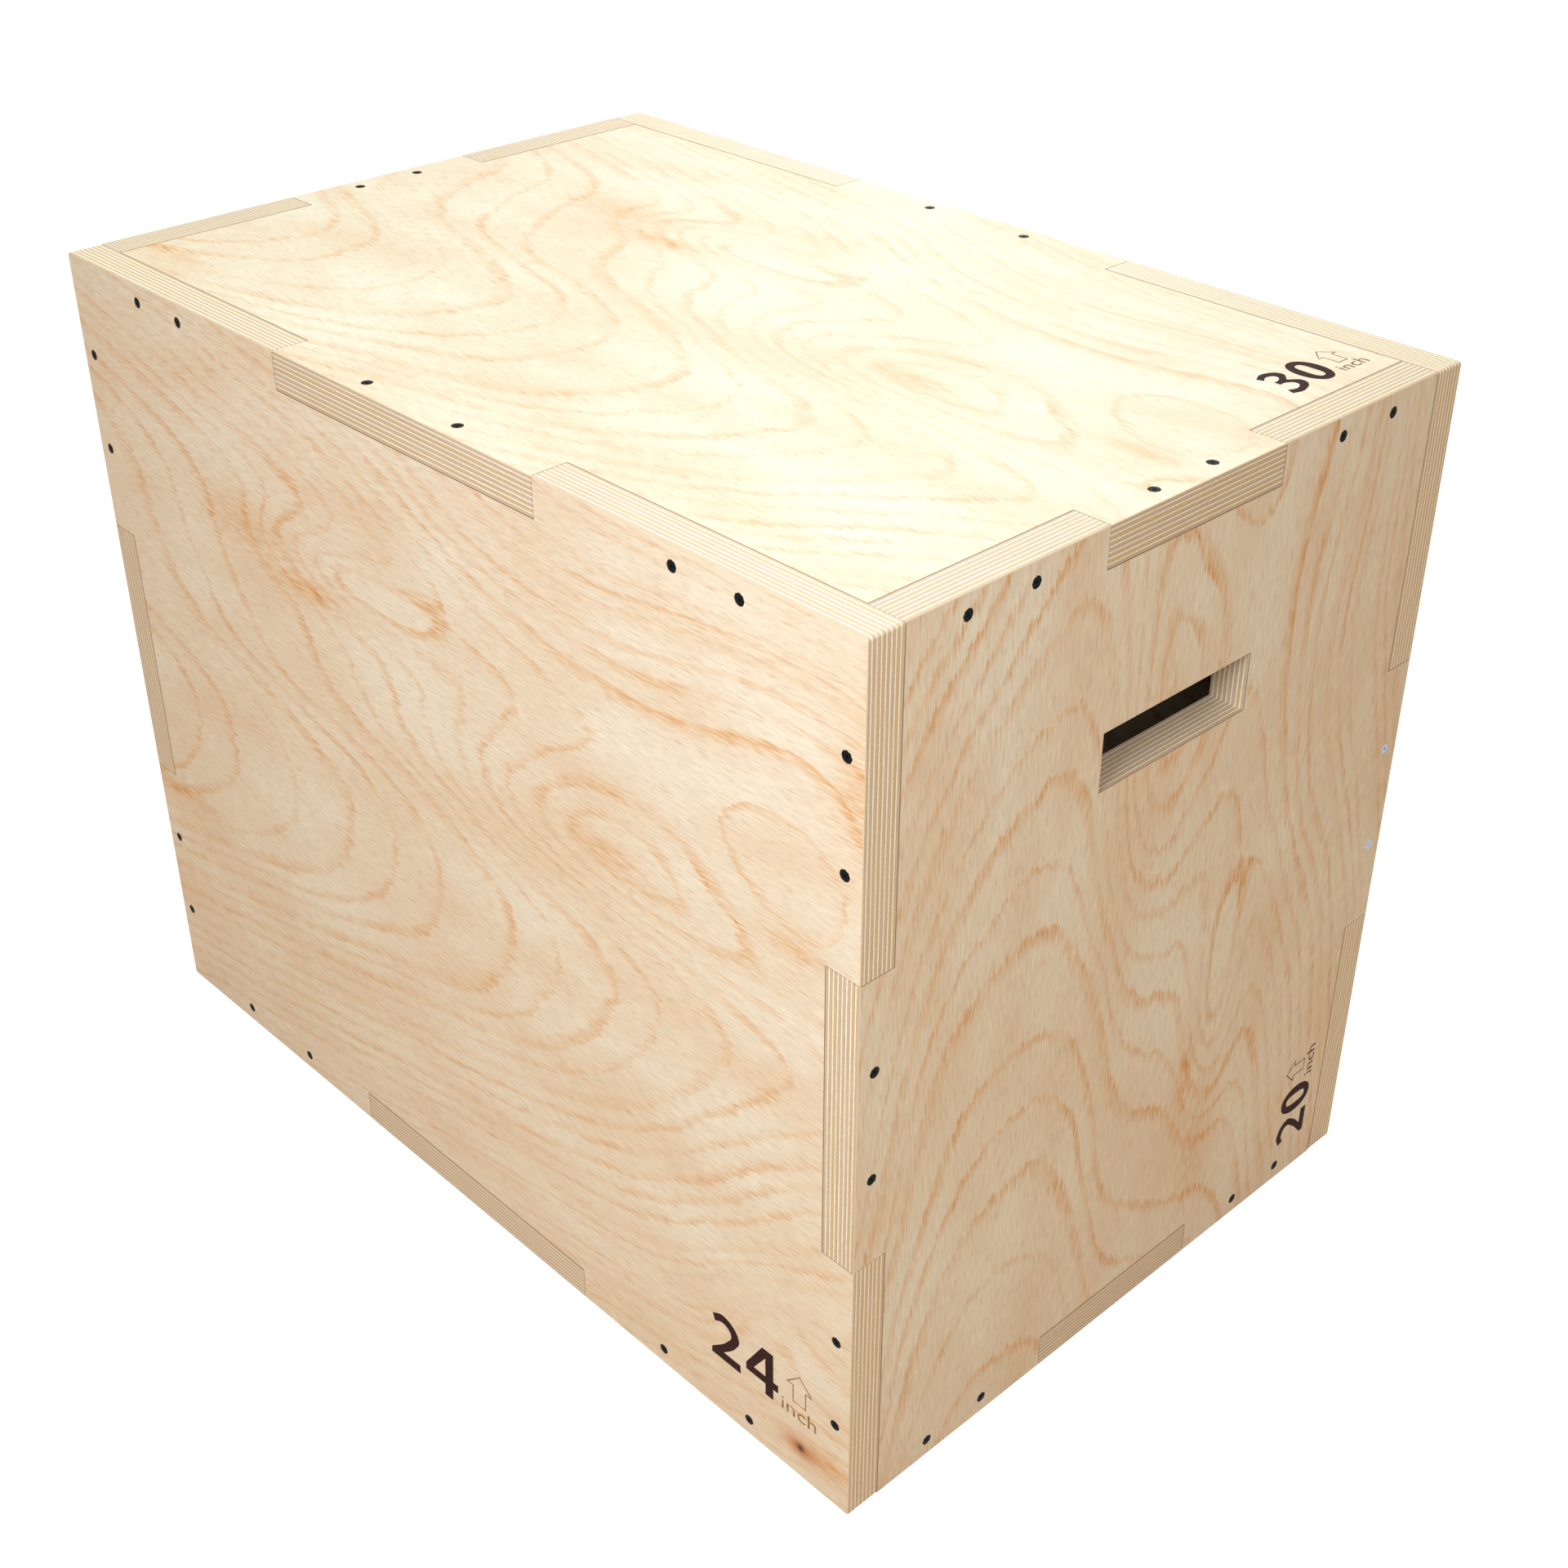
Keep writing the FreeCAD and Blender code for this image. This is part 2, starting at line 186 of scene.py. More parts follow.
def linear(code):
    """The linear colour of an sRGB hex code."""
    shares = [int(code[i:i + 2], 16) / 255 for i in (1, 3, 5)]
    return [s / 12.92 if s <= 0.04045 else ((s + 0.055) / 1.055) ** 2.4 for s in shares] + [1]


def add_node(tree, kind, inputs=None, **settings):
    """A node with its settings, each socket fed by a value, by another node or by one of its outputs."""
    node = tree.nodes.new(kind)
    for name, value in settings.items():
        setattr(node, name, value)
    for name, value in (inputs or {}).items():
        if isinstance(name, int):
            socket = node.inputs[name]
        else:
            socket = next(s for s in node.inputs if s.enabled and s.name == name)
        if isinstance(value, bpy.types.Node):
            value = next(s for s in value.outputs if s.enabled)
        if isinstance(value, bpy.types.NodeSocket):
            tree.links.new(value, socket)
        else:
            socket.default_value = value
    return node


def finish_material(material, inputs):
    """Give a material its shader, fed by values and nodes."""
    tree = material.node_tree
    shader = add_node(tree, "ShaderNodeBsdfPrincipled", inputs)
    add_node(tree, "ShaderNodeOutputMaterial", {"Surface": shader})


def empty_material(name):
    """A new material without nodes."""
    material = bpy.data.materials.new(name)
    material.use_nodes = True
    material.node_tree.nodes.clear()
    return material


def wood_marks(tree, place, size_mm, detail):
    """Uneven marks in the wood, of about this size along each axis of the sheet."""
    scale = [1 / size for size in size_mm] + [0] * (3 - len(size_mm))
    scaled = add_node(tree, "ShaderNodeMapping", {"Vector": place, "Scale": scale})
    return add_node(tree, "ShaderNodeTexNoise", {"Vector": scaled, "Scale": 1, "Detail": detail})


def nearness(tree, place, middle, reach):
    """A soft oval hill on the sheet: 1 at its middle, about a third at its reach, 0 far off."""
    away = add_node(tree, "ShaderNodeMapping",
                    {"Vector": place, "Location": (-middle[0] / reach[0], -middle[1] / reach[1], 0),
                     "Scale": (1 / reach[0], 1 / reach[1], 0)})
    far = add_node(tree, "ShaderNodeVectorMath", {0: away, 1: away}, operation="DOT_PRODUCT")
    return add_node(tree, "ShaderNodeMath", {0: math.exp(-1), 1: far.outputs["Value"]}, operation="POWER")


def ring_count(tree, place):
    """The growth rings passed on the way to a place on the sheet."""
    parts = add_node(tree, "ShaderNodeSeparateXYZ", {"Vector": place})
    first, last = RINGS_ACROSS[0], RINGS_ACROSS[-1]
    most = last[1]
    share = add_node(tree, "ShaderNodeMapRange",
                     {"Value": parts.outputs["Y"], "From Min": first[0], "From Max": last[0]})
    across = add_node(tree, "ShaderNodeFloatCurve", {"Value": share})
    curve = across.mapping.curves[0]
    for drop, rings in RINGS_ACROSS[1:-1]:
        curve.points.new((drop - first[0]) / (last[0] - first[0]), rings / most)
    curve.points[0].location = (0, first[1] / most)
    curve.points[-1].location = (1, 1)
    across.mapping.update()
    along = add_node(tree, "ShaderNodeMath", {0: parts.outputs["X"], 1: RING_RUN_MM}, operation="DIVIDE")
    count = add_node(tree, "ShaderNodeMath", {0: across, 1: most, 2: along}, operation="MULTIPLY_ADD")
    for middle, reach, rings in SWELLINGS_MM:
        swell = nearness(tree, place, middle, reach)
        count = add_node(tree, "ShaderNodeMath", {0: swell, 1: rings, 2: count}, operation="MULTIPLY_ADD")
    return count


def growth_rings(tree, flat):
    """How far each place lies in the dark late wood of its ring, from 0 to 1."""
    wander = wood_marks(tree, flat, WANDER_MM, 2)
    wander_share = add_node(tree, "ShaderNodeVectorMath",
                            {0: wander.outputs["Color"], 1: (0.5, 0.5, 0.5)}, operation="SUBTRACT")
    wandered = add_node(tree, "ShaderNodeVectorMath",
                        {0: wander_share, 1: (*WANDER_REACH_MM, 0), 2: flat}, operation="MULTIPLY_ADD")

    # How steeply rings are passed, in rings for each mm, makes all lines about equally wide.
    smooth_count = ring_count(tree, wandered)
    slopes = []
    for step in ((1, 0, 0), (0, 1, 0)):
        beside = add_node(tree, "ShaderNodeVectorMath", {0: wandered, 1: step}, operation="ADD")
        slopes.append(add_node(tree, "ShaderNodeMath",
                               {0: ring_count(tree, beside), 1: smooth_count}, operation="SUBTRACT"))
    slope = add_node(tree, "ShaderNodeCombineXYZ", {"X": slopes[0], "Y": slopes[1]})
    steep = add_node(tree, "ShaderNodeVectorMath", {0: slope}, operation="LENGTH").outputs["Value"]

    # Where rings cross the grain, the fibres pull them into wiggles and fine teeth.
    wiggle = wood_marks(tree, flat, WIGGLE_MM, 2)
    teeth = wood_marks(tree, flat, TEETH_MM, 2)
    wiggle_mm = add_node(tree, "ShaderNodeMath", {0: wiggle, 1: WIGGLE_REACH_MM}, operation="MULTIPLY")
    pull_mm = add_node(tree, "ShaderNodeMath",
                       {0: teeth, 1: TEETH_REACH_MM, 2: wiggle_mm}, operation="MULTIPLY_ADD")
    count = add_node(tree, "ShaderNodeMath",
                     {0: pull_mm, 1: slopes[0], 2: smooth_count}, operation="MULTIPLY_ADD")

    # No two rings are alike: some stand closer together, and some are fainter.
    uneven = add_node(tree, "ShaderNodeTexNoise",
                      {"W": count, "Scale": SHIFTS_PER_RING, "Detail": 0}, noise_dimensions="1D")
    count = add_node(tree, "ShaderNodeMath",
                     {0: uneven, 1: RING_SHIFT, 2: count}, operation="MULTIPLY_ADD")
    ring = add_node(tree, "ShaderNodeMath", {0: count}, operation="ROUND")
    kind = add_node(tree, "ShaderNodeTexWhiteNoise", {"W": ring}, noise_dimensions="1D")
    faint = add_node(tree, "ShaderNodeMapRange", {"Value": kind.outputs["Value"], "To Min": FAINTEST_RING})

    # Each ring darkens slowly through its late wood and ends more sharply. Close rings are paler.
    passed = add_node(tree, "ShaderNodeMath", {0: count}, operation="FRACT")
    left = add_node(tree, "ShaderNodeMath", {0: 1, 1: passed}, operation="SUBTRACT")
    sides = []
    late_wood = (left, LATE_WOOD_MM, LATE_WOOD_SHARE)
    ring_end = (passed, RING_END_MM, RING_END_SHARE)
    for way, width_mm, most in (late_wood, ring_end):
        wide = add_node(tree, "ShaderNodeMath", {0: steep, 1: width_mm}, operation="MULTIPLY")
        share = add_node(tree, "ShaderNodeMath", {0: wide, 1: most}, operation="MINIMUM")
        sides.append(add_node(tree, "ShaderNodeMapRange",
                              {"Value": way, "From Min": 0, "From Max": share, "To Min": 1, "To Max": 0},
                              interpolation_type="SMOOTHSTEP"))
    line = add_node(tree, "ShaderNodeMath", {0: sides[0], 1: sides[1]}, operation="MAXIMUM")
    pale = add_node(tree, "ShaderNodeMapRange",
                    {"Value": steep, "From Min": CROWDED_RINGS[0], "From Max": CROWDED_RINGS[1],
                     "To Min": 1, "To Max": CROWDED_STRENGTH})
    strength = add_node(tree, "ShaderNodeMath", {0: faint, 1: pale}, operation="MULTIPLY")
    return add_node(tree, "ShaderNodeMath", {0: line, 1: strength}, operation="MULTIPLY")


def peeled_veneer(tree, flat, ring_strength):
    """The face of the sheet: its colour, its fibres, and its pores. Fibres and pores are drawn
    a few times coarser than real ones, which would be too fine to show."""
    patch = wood_marks(tree, flat, PATCH_MM, 3)
    fading = wood_marks(tree, flat, FADING_MM, 2)
    fibre = wood_marks(tree, flat, FIBRE_MM, 3)
    dash = wood_marks(tree, flat, DASH_MM, 1)
    pore = wood_marks(tree, flat, PORE_MM, 1)
    patch_share = add_node(tree, "ShaderNodeMapRange",
                           {"Value": patch, "From Min": PATCH_SPAN[0], "From Max": PATCH_SPAN[1]})
    colour = add_node(tree, "ShaderNodeMix",
                      {"Factor": patch_share, "A": linear(CREAM), "B": linear(PEACH)}, data_type="RGBA")

    # Rings and stains come and go, and the fibres break them up.
    come_and_go = add_node(tree, "ShaderNodeMapRange",
                           {"Value": fading, "From Min": FADING_SPAN[0], "From Max": FADING_SPAN[1],
                            "To Min": FADED_RINGS * ring_strength, "To Max": ring_strength})
    rings = growth_rings(tree, flat)
    tan = add_node(tree, "ShaderNodeMath", {0: rings, 1: come_and_go}, operation="MULTIPLY")
    for middle, reach, strength in STAINS_MM:
        stain = nearness(tree, flat, middle, reach)
        tan = add_node(tree, "ShaderNodeMath", {0: stain, 1: strength, 2: tan}, operation="MULTIPLY_ADD")
    broken = add_node(tree, "ShaderNodeMapRange",
                      {"Value": fibre, "From Min": MARK_SPAN[0], "From Max": MARK_SPAN[1],
                       "To Min": FIBRE_TINTS[0], "To Max": FIBRE_TINTS[1]})
    tan_share = add_node(tree, "ShaderNodeMath", {0: tan, 1: broken}, operation="MULTIPLY", use_clamp=True)
    colour = add_node(tree, "ShaderNodeMix",
                      {"Factor": tan_share, "A": colour, "B": linear(RING_TAN)}, data_type="RGBA")
    fibre_shade = add_node(tree, "ShaderNodeMapRange",
                           {"Value": fibre, "From Min": MARK_SPAN[0], "From Max": MARK_SPAN[1],
                            "To Min": FIBRE_SHADES[0], "To Max": FIBRE_SHADES[1]})
    colour = add_node(tree, "ShaderNodeVectorMath", {0: colour, "Scale": fibre_shade}, operation="SCALE")

    # Short dashes and dark pores along the grain, and the knot
    dash_share = add_node(tree, "ShaderNodeMapRange",
                          {"Value": dash, "From Min": DASH_SPAN[0], "From Max": DASH_SPAN[1],
                           "To Max": DASH_STRENGTH})
    pore_share = add_node(tree, "ShaderNodeMapRange",
                          {"Value": pore, "From Min": PORE_SPAN[0], "From Max": PORE_SPAN[1],
                           "To Max": PORE_STRENGTH})
    halo = nearness(tree, flat, KNOT_MM, KNOT_HALO_MM)
    eye = nearness(tree, flat, KNOT_MM, KNOT_EYE_MM)
    spots = ((dash_share, DASH_TAN), (pore_share, PORE_BROWN), (halo, KNOT_RUST), (eye, KNOT_DARK))
    for share, code in spots:
        colour = add_node(tree, "ShaderNodeMix",
                          {"Factor": share, "A": colour, "B": linear(code)}, data_type="RGBA")
    return colour, fibre, pore_share


def ply_edge(tree, sheet, lightness):
    """The edge of the sheet: wide tan plies and narrow light ones, some of them golden, with thin dark
    glue lines between them. The glue lines are drawn about twice as wide as real ones, so that they show."""
    wave = wood_marks(tree, sheet, PLY_WAVE_MM, 1)
    depth = add_node(tree, "ShaderNodeSeparateXYZ", {"Vector": sheet})
    waved = add_node(tree, "ShaderNodeMath",
                     {0: wave, 1: PLY_WAVE_REACH_MM, 2: depth.outputs["Z"]}, operation="MULTIPLY_ADD")
    level = add_node(tree, "ShaderNodeMath", {0: waved, 1: PLY_WAVE_REACH_MM / 2}, operation="SUBTRACT")
    pairs = add_node(tree, "ShaderNodeMath", {0: level, 1: PLY_PAIR_MM}, operation="DIVIDE")
    pair = add_node(tree, "ShaderNodeMath", {0: pairs}, operation="FLOOR")
    share = add_node(tree, "ShaderNodeMath", {0: pairs}, operation="FRACT")
    tone = add_node(tree, "ShaderNodeTexWhiteNoise", {"W": pair}, noise_dimensions="1D")
    golden = add_node(tree, "ShaderNodeMapRange",
                      {"Value": tone.outputs["Value"], "From Min": PLAIN_PLY_SHARE})
    wide = add_node(tree, "ShaderNodeMix",
                    {"Factor": golden, "A": linear(PLY_TAN), "B": linear(PLY_GOLD)}, data_type="RGBA")
    narrow = add_node(tree, "ShaderNodeMath", {0: share, 1: WIDE_PLY_SHARE}, operation="GREATER_THAN")
    colour = add_node(tree, "ShaderNodeMix",
                      {"Factor": narrow, "A": wide, "B": linear(PLY_CREAM)}, data_type="RGBA")
    streak = wood_marks(tree, sheet, PLY_STREAK_MM, 2)
    pit = wood_marks(tree, sheet, PLY_PIT_MM, 2)
    spread = add_node(tree, "ShaderNodeMapRange",
                      {"Value": streak, "From Min": MARK_SPAN[0], "From Max": MARK_SPAN[1],
                       "To Min": THIN_GLUE})
    for line in (WIDE_PLY_SHARE, 1):
        on_line = add_node(tree, "ShaderNodeMath",
                           {0: share, 1: line, 2: GLUE_LINE_SHARE}, operation="COMPARE")
        glue_share = add_node(tree, "ShaderNodeMath", {0: on_line, 1: spread}, operation="MULTIPLY")
        colour = add_node(tree, "ShaderNodeMix",
                          {"Factor": glue_share, "A": colour, "B": linear(GLUE_BROWN)}, data_type="RGBA")
    for shade, light in ((streak, lightness), (pit, 1)):
        bright = add_node(tree, "ShaderNodeMapRange",
                          {"Value": shade, "From Min": MARK_SPAN[0], "From Max": MARK_SPAN[1],
                           "To Min": PLY_SHADES[0] * light, "To Max": PLY_SHADES[1] * light})
        colour = add_node(tree, "ShaderNodeVectorMath", {0: colour, "Scale": bright}, operation="SCALE")
    return colour


def birch_plywood(panel):
    """Sanded birch plywood under matt lacquer, for one panel: cream veneer with tan rings, striped edges
    and a thin line where the sharp edge was taken off, with painted shade where that line lies in a joint."""
    turn, middle, ring_strength, ply_lightness = SHEETS[panel]
    turn = [math.radians(angle) for angle in turn]
    material = empty_material(f"birch_plywood_{panel}")
    tree = material.node_tree
    coordinates = add_node(tree, "ShaderNodeTexCoord")
    sheet = add_node(tree, "ShaderNodeMapping",
                     {"Vector": coordinates.outputs["Object"], "Location": middle, "Rotation": turn,
                      "Scale": (1 / MM, 1 / MM, 1 / MM)})
    flat = add_node(tree, "ShaderNodeVectorMath", {0: sheet, 1: (1, 1, 0)}, operation="MULTIPLY")
    veneer, fibre, pore_share = peeled_veneer(tree, flat, ring_strength)

    # Faces show the veneer, slanted edges the thin line, and every other direction the plies.
    turned = add_node(tree, "ShaderNodeMapping",
                      {"Vector": coordinates.outputs["Normal"], "Rotation": turn}, vector_type="NORMAL")
    parts = add_node(tree, "ShaderNodeSeparateXYZ", {"Vector": turned})
    upright = add_node(tree, "ShaderNodeMath", {0: parts.outputs["Z"]}, operation="ABSOLUTE")
    face_share = add_node(tree, "ShaderNodeMath", {0: upright, 1: FACE_NORMAL}, operation="GREATER_THAN")
    arris_share = add_node(tree, "ShaderNodeMath",
                           {0: upright, 1: ARRIS_NORMAL, 2: ARRIS_NORMAL_PLAY}, operation="COMPARE")
    plies = ply_edge(tree, sheet, ply_lightness)
    colour = add_node(tree, "ShaderNodeMix",
                      {"Factor": face_share, "A": plies, "B": veneer}, data_type="RGBA")

    # Where the thin line lies by two sides of the box, it is an outer edge, and elsewhere a joint, painted
    # dark as the shade in its groove.
    middle_of_box = [(low + high) / 2 for low, high in zip(cad_low, cad_high)]
    inner_half = [(high - low) / 2 - ARRIS_REACH_MM * MM for low, high in zip(cad_low, cad_high)]
    off_middle = add_node(tree, "ShaderNodeVectorMath",
                          {0: coordinates.outputs["Object"], 1: middle_of_box}, operation="SUBTRACT")
    distance = add_node(tree, "ShaderNodeVectorMath", {0: off_middle}, operation="ABSOLUTE")
    beyond = add_node(tree, "ShaderNodeVectorMath", {0: distance, 1: inner_half}, operation="SUBTRACT")
    near_side = add_node(tree, "ShaderNodeVectorMath", {0: beyond}, operation="SIGN")
    near_sides = add_node(tree, "ShaderNodeVectorMath",
                          {0: near_side, 1: (1, 1, 1)}, operation="DOT_PRODUCT")
    outer = add_node(tree, "ShaderNodeMath",
                     {0: near_sides.outputs["Value"], 1: 0}, operation="GREATER_THAN")
    edge_tan_and_joint_shade = add_node(tree, "ShaderNodeMix",
                     {"Factor": outer, "A": linear(JOINT_SHADE_BROWN), "B": linear(ARRIS_TAN)}, data_type="RGBA")
    colour = add_node(tree, "ShaderNodeMix",
                      {"Factor": arris_share, "A": colour, "B": edge_tan_and_joint_shade}, data_type="RGBA")

    # The lacquer leaves the fibres and pores to be felt, and is a little duller over dense fibres.
    height = add_node(tree, "ShaderNodeMath", {0: fibre, 1: pore_share}, operation="SUBTRACT")
    bump = add_node(tree, "ShaderNodeBump",
                    {"Height": height, "Strength": FIBRES_FELT, "Distance": FIBRE_HEIGHT_MM * MM})
    rough = add_node(tree, "ShaderNodeMapRange",
                     {"Value": fibre, "To Min": LACQUER_ROUGHNESS[0], "To Max": LACQUER_ROUGHNESS[1]})
    finish_material(material, {"Base Color": colour, "Roughness": rough,
                               "Specular IOR Level": LACQUER_GLOSS, "Normal": bump})
    return material


for panel in SHEETS:
    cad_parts[panel].data.materials[0] = birch_plywood(panel)

# Wood screws
# Steel screws with a countersunk cross head, black phosphated, driven flush in pairs along every edge.
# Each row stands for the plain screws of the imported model, whose heads give the places.
# The pair at the back of the right side is zinc plated instead.
HEAD_MM = 7.2
RIM_MM = 0.3
CORE_MM = 3.0
THREAD_MM = 4.0
THREAD_PITCH_MM = 1.8
THREAD_TURNS = 17
THREAD_ROOT_MM = 0.15
THREAD_RISE_MM = 0.63
THREAD_START_MM = 2.4
SCREW_LENGTH_MM = 50
TIP_MM = 4
TIP_WIDTH_MM = 0.6
CROSS_MM = 4.0
CROSS_WING_MM = 0.8
CROSS_DEPTH_MM = 2.2
CROSS_TAPER = 0.45
HEAD_SIDES = 32
THREAD_SIDES = 12
SMOOTH_ANGLE = math.radians(35)
WELD_MM = 0.01
TURN_SEED = 24
COAT_GRIT_MM = 0.8
SPECK_SPAN = (0.5, 0.8)
COAT_ROUGHNESS = (0.5, 0.7)
PHOSPHATE_GLOSS = 0.08
PHOSPHATE_BLACK = "#0A0A0B"
PHOSPHATE_RUBBED = "#1E1E20"
ZINC_GREY = "#B4BCCB"
ZINC_DULL = "#8A93A6"
ZINC_PLATED_ROWS = ["right_back_screws"]
OUTWARD = {
    "front": Vector((0, -1, 0)),
    "back": Vector((0, 1, 0)),
    "left": Vector((-1, 0, 0)),
    "right": Vector((1, 0, 0)),
    "top": Vector((0, 0, 1)),
    "bottom": Vector((0, 0, -1)),
}


def screw_coat(name, plain, worn, inputs):
    """A coat on steel: one colour, a second one in specks where it is thin, and the sheen of its kind.
    The specks are drawn a few times coarser than real grit, so that they show."""
    material = empty_material(name)
    tree = material.node_tree
    coordinates = add_node(tree, "ShaderNodeTexCoord")
    grit = add_node(tree, "ShaderNodeTexNoise",
                    {"Vector": coordinates.outputs["Object"], "Scale": 1 / (COAT_GRIT_MM * MM),
                     "Detail": 3})
    specks = add_node(tree, "ShaderNodeMapRange",
                      {"Value": grit, "From Min": SPECK_SPAN[0], "From Max": SPECK_SPAN[1]})
    colour = add_node(tree, "ShaderNodeMix",
                      {"Factor": specks, "A": linear(plain), "B": linear(worn)}, data_type="RGBA")
    rough = add_node(tree, "ShaderNodeMapRange",
                     {"Value": grit, "To Min": COAT_ROUGHNESS[0], "To Max": COAT_ROUGHNESS[1]})
    finish_material(material, {"Base Color": colour, "Roughness": rough, **inputs})
    return material


def apply_boolean(piece, other, operation):
    """Cut one piece with another or join it to one, and drop the other."""
    bpy.context.view_layer.objects.active = piece
    cut = piece.modifiers.new("cut", "BOOLEAN")
    cut.operation = operation
    cut.object = other
    cut.solver = "EXACT"
    bpy.ops.object.modifier_apply(modifier=cut.name)
    bpy.data.objects.remove(other)


def cross_head_screw():
    """One screw along Z with the middle of its head's top at the origin."""
    cone_mm = (HEAD_MM - CORE_MM) / 2
    profile = [
        (RIM_MM, HEAD_MM),
        (cone_mm, CORE_MM),
        (SCREW_LENGTH_MM - RIM_MM - cone_mm - TIP_MM, CORE_MM),
        (TIP_MM, TIP_WIDTH_MM),
    ]
    bpy.ops.object.select_all(action="DESELECT")
    bpy.ops.mesh.primitive_circle_add(vertices=HEAD_SIDES, radius=HEAD_MM / 2 * MM, fill_type="NGON")
    screw = bpy.context.object
    bpy.ops.object.mode_set(mode="EDIT")
    bpy.ops.mesh.select_all(action="SELECT")
    width = HEAD_MM
    for drop, next_width in profile:
        bpy.ops.mesh.extrude_region_move(TRANSFORM_OT_translate={"value": (0, 0, -drop * MM)})
        narrower = next_width / width
        bpy.ops.transform.resize(value=(narrower, narrower, 1), center_override=(0, 0, 0))
        width = next_width
    bpy.ops.mesh.select_all(action="SELECT")
    bpy.ops.mesh.normals_make_consistent(inside=False)
    bpy.ops.object.mode_set(mode="OBJECT")

    # Cross recess: two wings that narrow towards the bottom
    for turn in (0, math.pi / 2):
        bpy.ops.object.select_all(action="DESELECT")
        bpy.ops.mesh.primitive_cube_add(size=1)
        wing = bpy.context.object
        wing.scale = (CROSS_MM * MM, CROSS_WING_MM * MM, 2 * CROSS_DEPTH_MM * MM)
        wing.rotation_euler = (0, 0, turn)
        bpy.ops.object.transform_apply(location=False, rotation=True, scale=True)
        bpy.ops.object.mode_set(mode="EDIT")
        bpy.ops.mesh.select_all(action="DESELECT")
        bpy.ops.object.mode_set(mode="OBJECT")
        for face in wing.data.polygons:
            face.select = face.normal.z < -0.9
        bpy.ops.object.mode_set(mode="EDIT")
        bpy.ops.transform.resize(value=(CROSS_TAPER, CROSS_TAPER, 1), center_override=(0, 0, 0))
        bpy.ops.object.mode_set(mode="OBJECT")
        apply_boolean(screw, wing, "DIFFERENCE")

    # Thread: a triangle wound down the core, closed at both ends
    bpy.ops.object.select_all(action="DESELECT")
    bpy.ops.mesh.primitive_circle_add(vertices=3, radius=1, fill_type="NGON")
    thread = bpy.context.object
    start_mm = THREAD_START_MM - SCREW_LENGTH_MM
    root_mm = CORE_MM / 2 - THREAD_ROOT_MM
    corners = [(root_mm, -THREAD_RISE_MM), (THREAD_MM / 2, 0), (root_mm, THREAD_RISE_MM)]
    for vertex, (out, up) in zip(thread.data.vertices, corners):
        vertex.co = Vector((out, 0, up + start_mm)) * MM
    winding = thread.modifiers.new("winding", "SCREW")
    winding.screw_offset = THREAD_PITCH_MM * MM
    winding.iterations = THREAD_TURNS
    winding.steps = winding.render_steps = THREAD_SIDES
    winding.use_merge_vertices = False
    bpy.ops.object.modifier_apply(modifier=winding.name)
    bpy.ops.object.mode_set(mode="EDIT")
    bpy.ops.mesh.select_all(action="SELECT")
    bpy.ops.mesh.remove_doubles(threshold=WELD_MM * MM)
    bpy.ops.mesh.select_all(action="DESELECT")
    bpy.ops.mesh.select_mode(type="EDGE")
    bpy.ops.mesh.select_non_manifold()
    bpy.ops.mesh.edge_face_add()
    bpy.ops.mesh.select_all(action="SELECT")
    bpy.ops.mesh.normals_make_consistent(inside=False)
    bpy.ops.object.mode_set(mode="OBJECT")
    apply_boolean(screw, thread, "UNION")
    bpy.ops.object.select_all(action="DESELECT")
    screw.select_set(True)
    bpy.ops.object.shade_smooth_by_angle(angle=SMOOTH_ANGLE)
    return screw


def head_places(node, outward, along):
    """The middle of each screw head in a row: the outermost points, split where the row has a gap."""
    points = [vertex.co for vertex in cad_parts[node].data.vertices]
    reach = max(point.dot(outward) for point in points)
    tops = [point for point in points if point.dot(outward) > reach - WELD_MM * MM]
    tops.sort(key=lambda point: point.dot(along))
    heads = [[tops[0]]]
    for point in tops[1:]:
        if (point - heads[-1][-1]).dot(along) > HEAD_MM * MM:
            heads.append([])
        heads[-1].append(point)
    places = []
    for head in heads:
        low = Vector(min(point[axis] for point in head) for axis in range(3))
        high = Vector(max(point[axis] for point in head) for axis in range(3))
        places.append((low + high) / 2)
    return places


black_coat = screw_coat("black_phosphated_steel", PHOSPHATE_BLACK, PHOSPHATE_RUBBED,
                        {"Specular IOR Level": PHOSPHATE_GLOSS})
zinc_coat = screw_coat("zinc_plated_steel", ZINC_GREY, ZINC_DULL, {"Metallic": 1})
screw = cross_head_screw()
turns = random.Random(TURN_SEED)
for node in sorted(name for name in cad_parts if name.endswith("_screws")):
    panel, edge = node.split("_")[:2]
    outward = OUTWARD[panel]
    upright = outward.to_track_quat("Z", "Y").to_matrix().to_4x4()
    bpy.ops.object.select_all(action="DESELECT")
    for place in head_places(node, outward, outward.cross(OUTWARD[edge])):
        copy = screw.copy()
        copy.data = screw.data.copy()
        bpy.context.collection.objects.link(copy)
        turned = Matrix.Rotation(turns.uniform(0, math.pi / 2), 4, "Z")
        copy.data.transform(Matrix.Translation(place) @ upright @ turned)
        copy.select_set(True)
        bpy.context.view_layer.objects.active = copy
    bpy.ops.object.join()
    row = bpy.context.object
    row.name = f"{panel}_{edge}_cross_head_screws"
    row.data.materials.append(zinc_coat if node in ZINC_PLATED_ROWS else black_coat)
    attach(row, "root")
    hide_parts(node)
bpy.data.objects.remove(screw)

# Size marks
# The height of the box as it can stand, one for each way: two digits, an outlined arrow and the unit.
# They are printed in dark brown ink, a film that soaks a few hundredths of a millimetre into the wood.
INK_MM = 0.05
SECOND_DIGIT_MM = 32
DIGIT_HEIGHT_MM = 38.5
